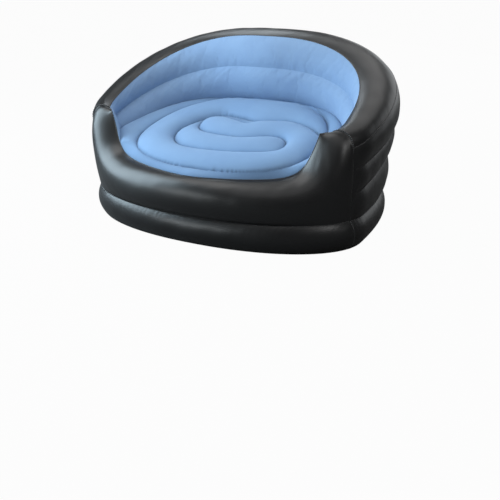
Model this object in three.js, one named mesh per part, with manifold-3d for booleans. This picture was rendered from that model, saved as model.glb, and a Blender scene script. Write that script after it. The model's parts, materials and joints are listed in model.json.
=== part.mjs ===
// An inflatable two-seat sofa: a welded skin of thin sheets over two air
// chambers, with internal tie bands and two air valves at the back.
// Millimetres, +Z up, the front faces -Y, the origin is on the floor under
// the middle of the base.
import * as THREE from 'three';
import Module from 'manifold-3d';
import { mergeVertices } from 'three/addons/utils/BufferGeometryUtils.js';

const wasm = await Module();
wasm.setup();

// Skin
const sheet = 3;             // thickness drawn for every welded sheet
const seam_gap = 0.3;        // clearance kept along each weld
const split_share = 1.1;     // the arm seams' share of that clearance
const mitre_share = 0.6;     // least share that limits a sharp mitre
const flat_share = 1e-4;     // a rise below this share of its chord is flat
const short_share = 4;       // a run shorter than this many sheets has a straight inner face
const merge_share = 0.001;   // share of the clearance within which points are one
const same_share = 0.1;      // share of it within which two steps are one
const overrun = 6;           // how far a cutting solid runs past what it cuts

// Plan outline at the base seam
const half_width = 724;
const front_reach = 340;     // from the widest line to the front
const back_reach = 704;      // from the widest line to the back
const front_power = 2.12;    // roundness of the front half, 2 is an ellipse
const back_power = 2.66;
const arm_turn = 82.3;       // degrees from straight ahead to the arm seams
const meet_share = 0.88;     // share of that turn where seat and back lining meet

// Base chamber
const base_height = 137;
const base_bulge = 26;
const foot_inset = 6;

// Front panel, in the middle of the front
const front_edge_height = 328;
const front_edge_inset = 10;
const front_bulge = 65;
const front_roll_top = 322;
const edge_power = 1.46;     // roundness of its inner edge in plan
const horn_share = 0.096;    // share of the arm turn from the arm seam to half the horn's climb
const horn_power = 3.54;     // how steep that climb is
const horn_inset_power = 1.8; // how late the panel's upper part takes the arm's shape
const horn_face_power = 5.1;  // how late its outer face goes straight
const foot_climb_power = 6;    // how late the panel climbs along its foot, a gentler slope
const edge_pull_power = 2;    // how much of the pull to the edge stays near the edge
const horn_flat_share = 0.25; // lining lower than this share of the arm's is flatter

// Arm section at the arm seam
const arm_outer_flare = 8;
const arm_outer_height = 475;
const arm_rim_inset = 95;
const arm_rim_height = 531;
const arm_seat_inset = 115;
const arm_seat_height = 400;
const arm_crease_inset = 86;
const arm_crease_height = 459;
const arm_low_crease = 258;
const arm_high_crease = 371;

// Back section in the middle of the back
const back_low_crease = 349;
const back_low_flare = 35;
const back_high_crease = 503;
const back_high_flare = 90;
const back_outer_flare = 4;
const back_outer_height = 787;
const back_rim_inset = 230;
const back_rim_height = 831;
const back_crease_inset = 284;
const back_crease_height = 681;
const back_seat_inset = 255;
const back_seat_height = 505;
const side_flare = 53;       // extra lean outwards of the sides of the back
const climb_power = 1.07;
const low_crease_power = 1.58;
const high_crease_power = 1.12;
const rim_rise = 41;
const arm_lining_rise = 34;  // of the one lobe at the arm seam
const wall_rise_share = 0.124;    // lobe rise over the width of the lobe
const lining_rise_share = 0.18;
const rib_fade_share = 0.12;     // share of the depth over which ribs fade in

// Seat
const seat_weld_height = 402;    // height of the welds over the origin
const seat_slope = 0.18;          // climb of the welds towards the back
const seat_lobe_rise = 30;
const seat_lobe_reach = 68;      // distance from a weld to the top of a lobe
const seat_band_rise = 14;
const weld_softness = 10;
const loop_half_width = 490;
const loop_front = 283;
const loop_back = 478;
const loop_power = 2.3;
const seat_plate = 8;            // least thickness under a weld
// Places of the spiral weld, shares of loop_half_width across and deep
const spiral_shares = [
  [0.106, 0.355], [-0.122, 0.437], [-0.306, 0.482], [-0.439, 0.418], [-0.418, 0.224], [-0.286, 0.11],
  [-0.02, 0.069], [0.204, 0.082], [0.445, 0.171], [0.571, 0.163], [0.657, 0.061], [0.649, -0.102],
  [0.473, -0.178], [0.204, -0.233], [-0.151, -0.251], [-0.357, -0.22], [-0.51, -0.106],
  [-0.576, 0.061], [-0.547, 0.224], [-0.473, 0.398], [-0.306, 0.535], [-0.061, 0.506],
  [0.143, 0.461], [0.327, 0.492], [0.51, 0.512], [0.673, 0.461], [0.816, 0.378], [0.945, 0.255],
];
const spiral_steps = 70;

// Internal bands
const band_sheet = 2.4;
const tie_gap = 0.8;             // clearance of a tie band to the skin at each crease

// Air valves
const valve_turn = 14;           // degrees from straight back to each valve
const base_valve_height = 68;
const body_valve_height = 250;
const flange_radius = 30;
const flange_sheet = 1.6;
const neck_bore = 13.2;
const neck_wall = 2.4;
const neck_depth = 17;
const neck_stand = 3;
const fit_gap = 0.3;
const insert_wall = 2.2;
const insert_head_radius = 17;
const insert_head = 2;
const insert_floor = 1.6;
const air_hole = 3;
const air_hole_circle = 6;
const air_hole_count = 4;
const cap_radius = 13.5;
const cap_sheet = 2;
const cap_plug_radius = 9.6;
const cap_plug_depth = 3;
const cap_pivot_reach = 17.5;
const cap_tab_width = 8;
const cap_lift_tab = 4;
const flap_radius = 10.4;
const flap_sheet = 1;
const valve_sides = 24;

// Steps of the meshes
const front_steps = 24;
const rear_steps = 36;
const base_rows = 5;
const face_rows = 4;
const cap_rows = 4;
const low_rows = 4;
const lobe_rows = 3;
const lining_rows = 4;
const seat_rows = 13;
const plate_rows = 3;
const flange_steps = 8;
// Columns between the meeting point and the arm seam, and extra ones just behind that seam
const horn_shares = [0, 0.04, 0.16, 0.34, 0.56, 0.78, 1];
const fade_shares = [0.15, 0.45];

const to_radians = Math.PI / 180;
const arm_angle = arm_turn * to_radians;
const meet_angle = arm_angle * meet_share;
const split = seam_gap / 2 * split_share / half_width;
const mix = (a, b, t) => a + (b - a) * t;
const blend = (p, q, t) => [mix(p[0], q[0], t), mix(p[1], q[1], t)];

// Radius of a rounded plan outline at a turn from straight ahead
function rounded(turn, across, ahead, behind, power_ahead, power_behind) {
  const deep = Math.cos(turn) > 0 ? ahead : behind;
  const power = Math.cos(turn) > 0 ? power_ahead : power_behind;
  const side = Math.abs(Math.sin(turn)) / across;
  const depth = Math.abs(Math.cos(turn)) / deep;
  return (side ** power + depth ** power) ** (-1 / power);
}
const outline = (turn) => rounded(turn, half_width, front_reach, back_reach, front_power, back_power);
const loop = (turn) => rounded(turn, loop_half_width, loop_front, loop_back, loop_power, loop_power);

// How far back a turn lies: 0 at the arm seam, 1 at the middle of the back
function back_share(turn) {
  const deep = (t) => -outline(t) * Math.cos(t);
  const share = (deep(turn) - deep(arm_angle)) / (back_reach - deep(arm_angle));
  return Math.min(Math.max(share, 0), 1);
}

// Circular arc from p to q that rises to the right of the way, in steps
function arc(p, q, rise, steps) {
  const chord = Math.hypot(q[0] - p[0], q[1] - p[1]);
  const along = [(q[0] - p[0]) / chord, (q[1] - p[1]) / chord];
  const out = [along[1], -along[0]];
  const points = [];
  if (Math.abs(rise) < chord * flat_share) {
    for (let i = 0; i <= steps; i += 1) points.push(blend(p, q, i / steps));
    return points;
  }
  const radius = (chord * chord / 4 + rise * rise) / (2 * rise);
  const half = 2 * Math.atan2(2 * rise, chord);
  for (let i = 0; i <= steps; i += 1) {
    const a = mix(-half, half, i / steps);
    const forward = chord / 2 + radius * Math.sin(a);
    const height = rise - radius * (1 - Math.cos(a));
    points.push([p[0] + along[0] * forward + out[0] * height,
      p[1] + along[1] * forward + out[1] * height]);
  }
  return points;
}
const chord_of = (p, q) => Math.hypot(q[0] - p[0], q[1] - p[1]);
const join = (...runs) => runs.reduce((all, run) => all.concat(run.slice(1)));

// Section of the rear, [offset from the outline, height], at a turn
const arm_face = (height) => arm_outer_flare * (height - base_height) / (arm_outer_height - base_height);
function rear_nodes(turn) {
  const w = back_share(turn);
  const faded = Math.min(w / rib_fade_share, 1);
  const ribbed = Math.sqrt(faded * (2 - faded));
  const climb = w ** climb_power;
  const lean = side_flare * 4 * w * (1 - w);
  const rim = [mix(-arm_rim_inset, -back_rim_inset, w) + lean,
    mix(arm_rim_height, back_rim_height, climb)];
  const seat = [mix(-arm_seat_inset, -back_seat_inset, w), mix(arm_seat_height, back_seat_height, w)];
  const crease = [mix(-arm_crease_inset, -back_crease_inset, w) + lean,
    mix(arm_crease_height, back_crease_height, climb)];
  return {
    ribbed,
    low: [mix(arm_face(arm_low_crease), back_low_flare, w),
      mix(arm_low_crease, back_low_crease, 1 - (1 - w) ** low_crease_power)],
    high: [mix(arm_face(arm_high_crease), back_high_flare, w),
      mix(arm_high_crease, back_high_crease, 1 - (1 - w) ** high_crease_power)],
    outer: [mix(arm_outer_flare, back_outer_flare, w) + lean,
      mix(arm_outer_height, back_outer_height, climb)],
    rim,
    // the lining is one lobe at the arm seam, and its crease grows from the top of that lobe
    crease: blend(arc(rim, seat, arm_lining_rise, 2)[1], crease, ribbed),
    seat,
  };
}
function wall_run(turn) {
  const n = rear_nodes(turn);
  const start = [0, base_height];
  const rise = (p, q) => wall_rise_share * chord_of(p, q) * n.ribbed;
  return join(arc(start, n.low, rise(start, n.low), low_rows),
    arc(n.low, n.high, rise(n.low, n.high), lobe_rows),
    arc(n.high, n.outer, rise(n.high, n.outer), low_rows));
}
function rim_run(turn) {
  const n = rear_nodes(turn);
  return arc(n.outer, n.rim, rim_rise, cap_rows);
}
function lining_run(turn) {
  const n = rear_nodes(turn);
  // half of one lobe's arc rises by a quarter of the lobe's own rise
  const rise = (p, q) => mix(arm_lining_rise / 4, lining_rise_share * chord_of(p, q), n.ribbed);
  return join(arc(n.rim, n.crease, rise(n.rim, n.crease), lining_rows),
    arc(n.crease, n.seat, rise(n.crease, n.seat), lining_rows));
}

// Section of the front: a roll in the middle that turns into the arm section
const arm_nodes = rear_nodes(arm_angle);
const arm_profile = join(
  arc([0, base_height], arm_nodes.outer, 0, face_rows),
  arc(arm_nodes.outer, arm_nodes.rim, rim_rise, cap_rows));
const roll = new THREE.CubicBezierCurve(
  new THREE.Vector2(0, base_height),
  new THREE.Vector2(front_bulge, base_height + base_bulge / 2),
  new THREE.Vector2(front_bulge, front_roll_top),
  new THREE.Vector2(-front_edge_inset, front_edge_height));
const roll_profile = roll.getPoints(arm_profile.length - 1).map((p) => [p.x, p.y]);
// How far the panel has climbed into the horns, from the middle of the front to an arm seam
function horn_climb(u) {
  const risen = (left) => 1 / (1 + (left / horn_share) ** horn_power);
  return (risen(1 - u) - risen(1)) / (1 - risen(1));
}
// Its inner edge: in plan a rounded outline through the middle of the front and both arm tips
const edge_reach = front_reach - front_edge_inset;
const tip_radius = outline(arm_angle) + arm_nodes.rim[0];
const tip_reach_share = tip_radius * Math.cos(arm_angle) / edge_reach;
const edge_half_width = tip_radius * Math.sin(arm_angle) / (1 - tip_reach_share ** edge_power) ** (1 / edge_power);
function front_edge(turn) {
  const u = Math.min(Math.abs(turn) / arm_angle, 1);
  const radius = rounded(turn, edge_half_width, edge_reach, edge_reach, edge_power, edge_power);
  return [radius - outline(turn), mix(front_edge_height, arm_nodes.rim[1], horn_climb(u))];
}
function front_run(turn) {
  const u = Math.min(Math.abs(turn) / arm_angle, 1);
  const last = roll_profile.length - 1;
  const run = roll_profile.map((p, i) => {
    const inset_power = mix(horn_face_power, horn_inset_power, i / last);
    const climb = mix(u ** foot_climb_power, horn_climb(u), i / last);
    return [mix(p[0], arm_profile[i][0], u ** inset_power), mix(p[1], arm_profile[i][1], climb)];
  });
  const edge = front_edge(turn);
  const miss = [edge[0] - run[last][0], edge[1] - run[last][1]];
  return run.map((p, i) => {
    const pull = (i / last) ** edge_pull_power;
    return [p[0] + pull * miss[0], p[1] + pull * miss[1]];
  });
}
// Crease between seat and lining, from the back round to where they meet the front panel
const meet_point = front_edge(meet_angle);
function seat_edge(turn) {
  const side = Math.abs(turn);
  if (side <= meet_angle) return front_edge(turn);
  if (side < arm_angle) {
    return blend(meet_point, arm_nodes.seat, (side - meet_angle) / (arm_angle - meet_angle));
  }
  return rear_nodes(turn).seat;
}
// Lining beside the horn: the arm's lining shrunk between panel edge and seat
const arm_lining = lining_run(arm_angle);
function horn_lining(turn) {
  const [m0, m1] = [arm_lining[0], arm_lining.at(-1)];
  const top = front_edge(turn);
  const low = seat_edge(turn);
  const size = Math.max((top[1] - low[1]) / (m0[1] - m1[1]), 0);
  const depth = size * Math.min(size / horn_flat_share, 1);
  return arm_lining.map((p) => {
    const t = (p[1] - m1[1]) / (m0[1] - m1[1]);
    const straight = blend(low, top, t);
    return [straight[0] + (p[0] - mix(m1[0], m0[0], t)) * depth, straight[1]];
  });
}

// Spiral weld of the seat
const spiral_curve = new THREE.CatmullRomCurve3(spiral_shares.map(([x, y]) =>
  new THREE.Vector3(x * loop_half_width, y * loop_half_width, 0)), false, 'centripetal');
const spiral = spiral_curve.getSpacedPoints(spiral_steps).map((p) => [p.x, p.y]);
function to_spiral(x, y) {
  let least = Infinity;
  for (let i = 1; i < spiral.length; i += 1) {
    const [a, b] = [spiral[i - 1], spiral[i]];
    const d = [b[0] - a[0], b[1] - a[1]];
    const t = ((x - a[0]) * d[0] + (y - a[1]) * d[1]) / (d[0] ** 2 + d[1] ** 2);
    const s = Math.min(Math.max(t, 0), 1);
    least = Math.min(least, Math.hypot(x - a[0] - s * d[0], y - a[1] - s * d[1]));
  }
  return least;
}
const weld_height = (y) => seat_weld_height + seat_slope * y;
// Height of the seat's upper face at a turn and radius
function seat_height(turn, radius) {
  const edge = seat_edge(turn);
  const full = outline(turn) + edge[0];
  const ring = Math.min(loop(turn), full - 2 * sheet);
  const y = -radius * Math.cos(turn);
  if (radius > ring) {
    const t = (radius - ring) / (full - ring);
    const weld = weld_height(-ring * Math.cos(turn));
    return mix(weld, edge[1], t) + seat_band_rise * Math.sin(Math.PI * t);
  }
  const near = Math.min(to_spiral(radius * Math.sin(turn), y), ring - radius);
  const soft = Math.hypot(near, weld_softness) - weld_softness;
  const t = Math.min(soft / seat_lobe_reach, 1);
  return weld_height(y) + seat_lobe_rise * (1 - (1 - t) ** 2);
}
function seat_run(turn) {
  const edge = seat_edge(turn);
  const full = outline(turn) + edge[0];
  const points = [edge];
  for (let i = 1; i < seat_rows; i += 1) {
    const radius = full * (1 - i / seat_rows);
    points.push([radius - outline(turn), seat_height(turn, radius)]);
  }
  return points;
}

// The runs of one section, in order from the floor up, over and down to the seat
function section(turn) {
  const side = Math.abs(turn);
  const runs = {
    bottom: [[-foot_inset - base_height, 0], [-foot_inset, 0]],
    base: arc([-foot_inset, 0], [0, base_height], base_bulge, base_rows),
  };
  if (side < arm_angle) {
    runs.front = front_run(turn);
    if (side > meet_angle) runs.lining = horn_lining(turn);
  } else {
    runs.wall = wall_run(turn);
    runs.rim = rim_run(turn);
    runs.lining = lining_run(turn);
  }
  runs.seat = seat_run(turn);
  return runs;
}

// Moves a run to the air side by a distance, with mitres at its two ends
function left_of(p, q) {
  const d = chord_of(p, q) || 1;
  return [-(q[1] - p[1]) / d, (q[0] - p[0]) / d];
}
function distinct(run) {
  return run.filter((p, i) => i === 0 || chord_of(p, run[i - 1]) > seam_gap * same_share);
}
function shifted(run, before, after, distance) {
  return run.map((p, i) => {
    const same = (q) => chord_of(p, q) <= seam_gap * same_share;
    const earlier = run.slice(0, i).filter((q) => !same(q)).at(-1) ?? before;
    const later = run.slice(i + 1).find((q) => !same(q)) ?? after;
    const n1 = earlier ? left_of(earlier, p) : left_of(p, later);
    const n2 = later ? left_of(p, later) : n1;
    const spread = Math.max(1 + n1[0] * n2[0] + n1[1] * n2[1], mitre_share);
    return [p[0] + distance * (n1[0] + n2[0]) / spread, p[1] + distance * (n1[1] + n2[1]) / spread];
  });
}
// Pulls the ends of a run back along itself, to leave half of the seam gap
function pulled(run, at_start, at_end) {
  const out = run.map((p) => [...p]);
  const pull = (i, towards) => {
    const target = run[towards];
    const d = chord_of(run[i], target);
    if (d > seam_gap) out[i] = blend(run[i], target, seam_gap / 2 / d);
  };
  if (at_start) {
    const next = run.findIndex((p) => chord_of(p, run[0]) > seam_gap);
    if (next > 0) {
      for (let i = next - 1; i >= 0; i -= 1) pull(i, next);
    }
  }
  if (at_end) pull(run.length - 1, run.length - 2);
  return out;
}
// Outer and inner run of one piece at a turn; distances grow towards the air
function faces(turn, name, outer_at, inner_at) {
  const runs = section(turn);
  const order = Object.keys(runs);
  const k = order.indexOf(name);
  const is_short = (run) => chord_of(run[0], run.at(-1)) < short_share * sheet;
  // the seat mitres with the panel where the lining between them is short
  const back = name === 'seat' && is_short(runs[order[k - 1]]) ? 2 : 1;
  const before = k > 0 ? distinct(runs[order[k - back]]).at(-2) : null;
  const after = k < order.length - 1 ? distinct(runs[order[k + 1]])[1] : null;
  const cut = (distance) => pulled(shifted(runs[name], before, after, distance), k > 0, k < order.length - 1);
  const inner = cut(inner_at);
  const [first, last] = [inner[0], inner.at(-1)];
  return [cut(outer_at), is_short(runs[name]) ? inner.map((_, i) => blend(first, last, i / (inner.length - 1))) : inner];
}

// A point in space from a turn, an offset from the outline and a height
const place = (turn, p) => {
  const radius = outline(turn) + p[0];
  return [radius * Math.sin(turn), -radius * Math.cos(turn), p[1]];
};

// Builds one closed geometry from shared points and triangles
function geometry_of(points, triangles) {
  const geometry = new THREE.BufferGeometry();
  geometry.setAttribute('position', new THREE.Float32BufferAttribute(points.flat(), 3));
  geometry.setIndex(triangles.flat());
  return geometry;
}
// A sheet between two grids [column][row]
function between(outer, inner, wrap) {
  const columns = outer.length;
  const rows = outer[0].length;
  const cells = wrap ? columns : columns - 1;
  const points = outer.flat().concat(inner.flat());
  const at = (c, r, face) => face * columns * rows + (c % columns) * rows + r;
  const triangles = [];
  const quad = (a, b, c, d) => triangles.push([a, b, c], [a, c, d]);
  for (let c = 0; c < cells; c += 1) {
    for (let r = 0; r < rows - 1; r += 1) {
      quad(at(c, r, 0), at(c + 1, r, 0), at(c + 1, r + 1, 0), at(c, r + 1, 0));
      quad(at(c, r, 1), at(c, r + 1, 1), at(c + 1, r + 1, 1), at(c + 1, r, 1));
    }
    const top = rows - 1;
    quad(at(c, 0, 0), at(c, 0, 1), at(c + 1, 0, 1), at(c + 1, 0, 0));
    quad(at(c, top, 0), at(c + 1, top, 0), at(c + 1, top, 1), at(c, top, 1));
  }
  if (!wrap) {
    for (let r = 0; r < rows - 1; r += 1) {
      quad(at(0, r, 0), at(0, r + 1, 0), at(0, r + 1, 1), at(0, r, 1));
      quad(at(cells, r, 0), at(cells, r, 1), at(cells, r + 1, 1), at(cells, r + 1, 0));
    }
  }
  return geometry_of(points, triangles);
}
// A closed disc: rings of points from the edge inwards, on two faces, each with a middle point
function disc(outer, inner, outer_middle, inner_middle) {
  const count = outer[0].length;
  const points = [...outer.flat(), ...inner.flat(), outer_middle, inner_middle];
  const start = outer.length * count;
  const triangles = [];
  const next = (i) => (i + 1) % count;
  for (let i = 0; i < count; i += 1) {
    for (let k = 0; k < outer.length - 1; k += 1) {
      const [a, b] = [k * count + i, k * count + next(i)];
      triangles.push([a, b, b + count], [a, b + count, a + count]);
    }
    for (let k = 0; k < inner.length - 1; k += 1) {
      const [a, b] = [start + k * count + i, start + k * count + next(i)];
      triangles.push([a, b + count, b], [a, a + count, b + count]);
    }
    const last_outer = (outer.length - 1) * count;
    const last_inner = start + (inner.length - 1) * count;
    triangles.push([last_outer + i, last_outer + next(i), points.length - 2]);
    triangles.push([last_inner + next(i), last_inner + i, points.length - 1]);
    triangles.push([i, start + i, start + next(i)], [i, start + next(i), next(i)]);
  }
  return geometry_of(points, triangles);
}

// Columns of the sections, from straight back round the left side and on
const steps_between = (a, b, n) => Array.from({ length: n + 1 }, (_, i) => mix(a, b, i / n));
const horn_columns = horn_shares.map((share) => mix(meet_angle, arm_angle - split, share));
const front_columns = [
  ...horn_columns.map((turn) => -turn).reverse(),
  ...steps_between(-meet_angle, meet_angle, front_steps).slice(1, -1),
  ...horn_columns];
const even_rear = steps_between(arm_angle + split, 2 * Math.PI - arm_angle - split, rear_steps);
const fade_columns = fade_shares.map((share) => mix(even_rear[0], even_rear[1], share));
const rear_columns = [
  even_rear[0], ...fade_columns,
  ...even_rear.slice(1, -1),
  ...fade_columns.map((turn) => 2 * Math.PI - turn).reverse(), even_rear.at(-1)];
// The same turn named from -180 to 180 degrees
const centred = (turn) => (turn > Math.PI ? turn - 2 * Math.PI : turn);

function loft(columns, name, outer_at = 0, inner_at = sheet) {
  const outer = [];
  const inner = [];
  for (const turn of columns) {
    const [a, b] = faces(centred(turn), name, outer_at, inner_at);
    outer.push(a.map((p) => place(turn, p)));
    inner.push(b.map((p) => place(turn, p)));
  }
  return between(outer, inner, false);
}

// Lining: the full sweep from beside one meeting point round the back to the other
function back_lining() {
  const left = horn_columns.slice(1, -1);
  const right = left.map((t) => 2 * Math.PI - t).reverse();
  return loft([...left, ...rear_columns, ...right], 'lining');
}

// Underside of the seat: its height, and its run from the crease in to the outer loop
const under = (radius, turn) => weld_height(-radius * Math.cos(turn)) - seat_plate;
function seat_under(turn) {
  const edge = faces(centred(turn), 'seat', 0, sheet)[1][0];
  const ring = Math.min(loop(turn), outline(turn) + edge[0] - 2 * sheet);
  return [edge, [ring - outline(turn), under(ring, turn)]];
}
// Seat: formed upper face over a plain lower one
function seat_top() {
  const turns = [...front_columns, ...rear_columns];
  const outer = [];
  const inner = [];
  const per_turn = turns.map((turn) => faces(centred(turn), 'seat', 0, sheet));
  for (let i = 0; i < seat_rows; i += 1) {
    outer.push(turns.map((turn, k) => place(turn, per_turn[k][0][i])));
  }
  for (let i = 0; i < plate_rows; i += 1) {
    inner.push(turns.map((turn) => {
      const [edge, ring] = seat_under(turn);
      if (i === 0) return place(turn, edge);
      const radius = (outline(turn) + ring[0]) * (1 - (i - 1) / (plate_rows - 1));
      return place(turn, [radius - outline(turn), under(radius, turn)]);
    }));
  }
  return disc(outer, inner, [0, 0, seat_height(0, 0)], [0, 0, under(0, 0)]);
}

// A flat level sheet inside the skin, its edge given by a run's end
function level_disc(edge_low, edge_high, low, high) {
  const turns = [...front_columns, ...rear_columns];
  const ring = (edge, z) => [turns.map((turn) => place(turn, [edge(turn), z]))];
  return disc(ring(edge_low, low), ring(edge_high, high), [0, 0, low], [0, 0, high]);
}
function flipped(geometry) {
  const index = geometry.getIndex().array;
  for (let i = 0; i < index.length; i += 3) [index[i + 1], index[i + 2]] = [index[i + 2], index[i + 1]];
  return geometry;
}
function base_bottom() {
  const edge = (face) => (turn) => faces(centred(turn), 'bottom', 0, sheet)[face].at(-1)[0];
  return flipped(level_disc(edge(0), edge(1), 0, sheet));
}
function chamber_divider() {
  // the mitre of the skin's inner faces at the base seam stops the divider
  const edge = (turn) => faces(centred(turn), 'base', 0, sheet)[1].at(-1)[0] - seam_gap;
  const low = base_height - band_sheet / 2;
  return flipped(level_disc(edge, edge, low, low + band_sheet));
}

// How far a tie band's corner stays from its crease, so that it clears the skin on its side
function tie_clearance(crease, towards, neighbours, side, sign) {
  const d = chord_of(crease, towards);
  const along = [(towards[0] - crease[0]) / d, (towards[1] - crease[1]) / d];
  let clear = tie_gap;
  for (const q of neighbours) {
    const v = [q[0] - crease[0], q[1] - crease[1]];
    const out = sign * (v[0] * side[0] + v[1] * side[1]) / (band_sheet / 2);
    const ahead = v[0] * along[0] + v[1] * along[1];
    if (out > 0 && ahead > 0) clear = Math.max(clear, tie_gap + band_sheet / 2 * ahead / out);
  }
  return clear;
}
// A tie band between the inner faces at a crease of the wall and a crease of the lining
function tie_band(wall_row, lining_row) {
  const outer = [];
  const inner = [];
  // the creases have faded at the arm seams, so the band ends a little before them
  for (const turn of rear_columns.slice(fade_shares.length, -fade_shares.length)) {
    const wall = faces(centred(turn), 'wall', 0, sheet)[1];
    const lining = faces(centred(turn), 'lining', 0, sheet)[1].concat([seat_under(turn)[1]]);
    const [a, b] = [wall[wall_row], lining[lining_row]];
    const d = chord_of(a, b);
    const side = left_of(a, b).map((v) => v * band_sheet / 2);
    const edge = (sign) => [[a, b, wall, wall_row], [b, a, lining, lining_row]].map(([p, q, run, row]) => {
      const [r, z] = blend(p, q, tie_clearance(p, q, [run[row - 1], run[row + 1]], side, sign) / d);
      return place(turn, [r + sign * side[0], z + sign * side[1]]);
    });
    outer.push(edge(1));
    inner.push(edge(-1));
  }
  return flipped(between(outer, inner, false));
}

// An upright band along a path on the seat, from the divider up to the seat
function upright_band(path, closed) {
  const outer = [];
  const inner = [];
  const n = path.length;
  const low = base_height + band_sheet / 2 + seam_gap;
  for (let i = 0; i < n; i += 1) {
    const a = path[closed ? (i + n - 1) % n : Math.max(i - 1, 0)];
    const b = path[closed ? (i + 1) % n : Math.min(i + 1, n - 1)];
    const side = left_of(a, b).map((v) => v * band_sheet / 2);
    const edge = (sign) => {
      const [x, y] = [path[i][0] + sign * side[0], path[i][1] + sign * side[1]];
      return [[x, y, low], [x, y, weld_height(y) - seat_plate - seam_gap]];
    };
    outer.push(edge(-1));
    inner.push(edge(1));
  }
  return between(outer, inner, closed);
}

// Solids for cutting and joining
function solid(geometry) {
  const bare = geometry.clone();
  bare.deleteAttribute('normal');
  bare.deleteAttribute('uv');
  const merged = mergeVertices(bare, seam_gap * merge_share);
  return new wasm.Manifold(new wasm.Mesh({
    numProp: 3,
    vertProperties: new Float32Array(merged.getAttribute('position').array),
    triVerts: new Uint32Array(merged.getIndex().array),
  }));
}
function geometry_from(body) {
  const mesh = body.getMesh();
  const geometry = new THREE.BufferGeometry();
  geometry.setAttribute('position', new THREE.BufferAttribute(mesh.vertProperties, 3));
  geometry.setIndex(new THREE.BufferAttribute(mesh.triVerts, 1));
  return geometry;
}

// Valve pieces are turned solids on a local axis, outwards is +Z
function turned(profile) {
  const points = profile.map(([r, z]) => new THREE.Vector2(r, z));
  const geometry = new THREE.LatheGeometry(points, valve_sides);
  geometry.rotateX(Math.PI / 2);
  return geometry;
}
function tube(inside, outside, low, high) {
  return turned([[inside, low], [outside, low], [outside, high], [inside, high], [inside, low]]);
}
function rod(radius, low, high) {
  return turned([[0, low], [radius, low], [radius, high], [0, high]]);
}
function box(x0, x1, y0, y1, z0, z1) {
  const geometry = new THREE.BoxGeometry(x1 - x0, y1 - y0, z1 - z0);
  return geometry.translate((x0 + x1) / 2, (y0 + y1) / 2, (z0 + z1) / 2);
}

// Half of the turn over which a valve's flange is cut from the skin
const half_flange_turn = (flange_radius + 2 * overrun) / back_reach;
// Frame of a valve: where its axis leaves the skin; local Y points down, so hinges at -Y are on top
function valve_frame(side, height, run) {
  const turn = Math.PI - side * valve_turn * to_radians;
  const at_height = (t) => {
    const points = run(centred(t));
    const k = points.findIndex((p) => p[1] > height);
    const [a, b] = [points[k - 1], points[k]];
    return place(t, blend(a, b, (height - a[1]) / (b[1] - a[1])));
  };
  const step = half_flange_turn;
  const across = new THREE.Vector3(...at_height(turn + step))
    .sub(new THREE.Vector3(...at_height(turn - step))).normalize();
  const lean = run(centred(turn));
  const k = lean.findIndex((p) => p[1] > height);
  const up = new THREE.Vector3(...place(turn, lean[k]))
    .sub(new THREE.Vector3(...place(turn, lean[k - 1]))).normalize();
  const out = across.clone().cross(up).normalize();
  const down = across.clone().cross(out).normalize();
  const frame = new THREE.Matrix4().makeBasis(across.negate(), down, out);
  return { turn, frame: frame.setPosition(new THREE.Vector3(...at_height(turn))) };
}

const head_low = neck_stand + fit_gap;
const head_high = head_low + insert_head;
const cap_low = head_high + fit_gap;
const insert_radius = neck_bore - fit_gap;
const insert_bore = insert_radius - insert_wall;
const insert_low = -neck_depth + flap_sheet + 2 * fit_gap;

function valve_housing(spot, name) {
  const around = steps_between(spot.turn - half_flange_turn, spot.turn + half_flange_turn, flange_steps);
  const patch = solid(loft(around, name, -fit_gap - flange_sheet, -fit_gap));
  const disc_cut = solid(rod(flange_radius, -overrun, neck_stand + overrun).applyMatrix4(spot.frame));
  const neck = solid(rod(neck_bore + neck_wall, -neck_depth, neck_stand).applyMatrix4(spot.frame));
  const bore = solid(rod(neck_bore, -neck_depth - overrun, neck_stand + overrun).applyMatrix4(spot.frame));
  return geometry_from(patch.intersect(disc_cut).add(neck).subtract(bore));
}
function valve_insert() {
  const body = solid(turned([
    [0, insert_low], [insert_radius, insert_low], [insert_radius, head_low],
    [insert_head_radius, head_low], [insert_head_radius, head_high], [insert_bore, head_high],
    [insert_bore, insert_low + insert_floor], [0, insert_low + insert_floor]]));
  const lug = solid(box(-cap_tab_width / 2, cap_tab_width / 2, -cap_pivot_reach, -insert_bore - insert_wall,
    head_low, head_high));
  let insert = body.add(lug);
  for (let i = 0; i < air_hole_count; i += 1) {
    const hole = rod(air_hole, insert_low - overrun, insert_low + overrun);
    hole.translate(air_hole_circle, 0, 0).rotateZ(i * 2 * Math.PI / air_hole_count);
    insert = insert.subtract(solid(hole));
  }
  return geometry_from(insert);
}
function valve_cap() {
  const disc_part = solid(rod(cap_radius, cap_low, cap_low + cap_sheet));
  const plug = solid(rod(cap_plug_radius, cap_low - cap_plug_depth, cap_low + cap_sheet / 2));
  const tab = solid(box(-cap_tab_width / 2, cap_tab_width / 2, -cap_pivot_reach, -cap_radius / 2,
    cap_low, cap_low + cap_sheet / 2));
  const lift = solid(box(-cap_tab_width / 2, cap_tab_width / 2, cap_radius / 2, cap_radius + cap_lift_tab,
    cap_low, cap_low + cap_sheet / 2));
  return geometry_from(disc_part.add(plug).add(tab).add(lift));
}
function valve_flap() {
  const top = insert_low - fit_gap;
  return rod(flap_radius, top - flap_sheet, top);
}

// Finishes
const black_vinyl = { color: 0x1c1d1f, roughness: 0.42, metalness: 0 };
const blue_flock = { color: 0x7fa6dd, roughness: 0.95, metalness: 0 };
const grey_vinyl = { color: 0x8a8d92, roughness: 0.55, metalness: 0 };
const valve_plastic = { color: 0x2b2c2f, roughness: 0.5, metalness: 0 };

const sofa = new THREE.Group();
function add(name, geometry, finish, parent = sofa) {
  const mesh = new THREE.Mesh(geometry, new THREE.MeshStandardMaterial(finish));
  mesh.name = name;
  parent.add(mesh);
  return mesh;
}

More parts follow.
